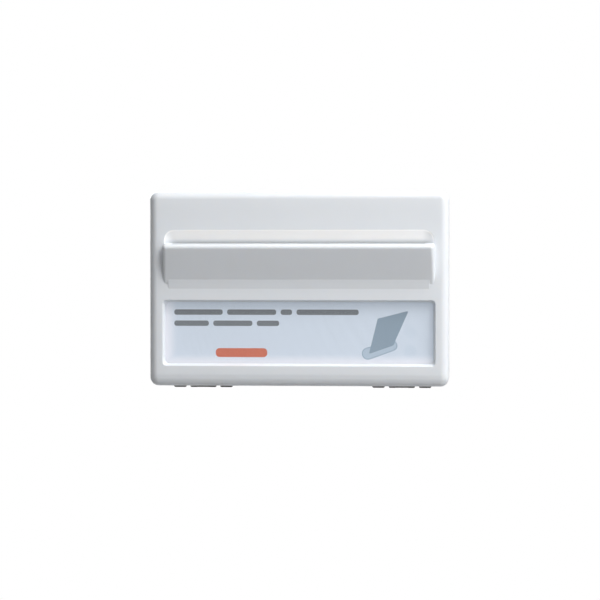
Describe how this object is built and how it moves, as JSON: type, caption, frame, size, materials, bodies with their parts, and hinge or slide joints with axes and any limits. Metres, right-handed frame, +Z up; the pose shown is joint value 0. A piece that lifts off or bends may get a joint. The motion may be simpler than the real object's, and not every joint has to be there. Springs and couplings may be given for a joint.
{
  "type": "key card switch",
  "caption": "Wall switch worked by a hotel key card: white plate with a raised slanted card pocket and a lit label window over a three-module switch box.",
  "frame": {"origin": "midway between the two wall box screws, on the wall plane at the frame's back face", "axes": "+X to the right seen from the room, +Z up, +Y into the wall; the room is on the -Y side"},
  "size_m": [0.12, 0.0492, 0.0791],
  "materials": {
    "cover_plastic": "smooth satin gloss",
    "guide_plastic": "smooth satin",
    "lens_plastic": "clear polished plastic",
    "label_film": "printed translucent film",
    "opal_plastic": "opal, smooth",
    "frame_plastic": "fine moulded grain",
    "housing_plastic": "fine moulded grain",
    "plunger_plastic": "smooth moulded",
    "zinc_steel": "zinc plated",
    "spring_steel": "drawn wire",
    "brass": "stamped, bare",
    "silver_contact": "silver alloy, domed",
    "board_laminate": "varnished laminate",
    "lamp_body": "diffused clear",
    "resistor_body": "lacquered"
  },
  "bodies": {
    "root": {"mounting_frame": "frame_plastic", "card_guide": "guide_plastic", "guide_screws": "zinc_steel", "switch_housing": "housing_plastic", "housing_rear_cover": "housing_plastic", "rear_cover_screws": "zinc_steel", "lever_pivot_pin": "zinc_steel", "return_spring": "spring_steel", "line_contact_strip": "brass", "load_contact_strip": "brass", "fixed_contact_tips": "silver_contact", "terminal_clamps": "brass", "terminal_screws": "zinc_steel", "lamp_contact_strips": "brass", "lamp_board": "board_laminate", "indicator_lamps": "lamp_body", "dropper_resistor": "resistor_body"},
    "cover": {"front_cover": "cover_plastic", "window_lens": "lens_plastic", "label_insert": "label_film", "label_retainer": "opal_plastic"},
    "lever": {"card_lever": "guide_plastic"},
    "plunger": {"switch_plunger": "plunger_plastic", "contact_bridge": "brass", "contact_spring": "spring_steel", "moving_contact_tips": "silver_contact"}
  },
  "joints": [
    {"name": "cover_pull", "type": "slide", "parent": "root", "child": "cover", "axis": [0, -1, 0], "range_m": [0, 0.03]},
    {"name": "card_lever_swing", "type": "hinge", "parent": "root", "child": "lever", "pos_m": [0, 0.003, -0.002], "axis": [1, 0, 0], "range_deg": [0, 10], "stiffness_Nm_per_rad": 0.053, "springref_deg": -12.95},
    {"name": "plunger_slide", "type": "slide", "parent": "root", "child": "plunger", "axis": [0, 1, 0], "range_m": [0, 0.0024], "deforming": ["return_spring"]}
  ],
  "couplings": [
    {"joint": "plunger_slide", "follows": "card_lever_swing", "m_per_rad": 0.01327}
  ]
}
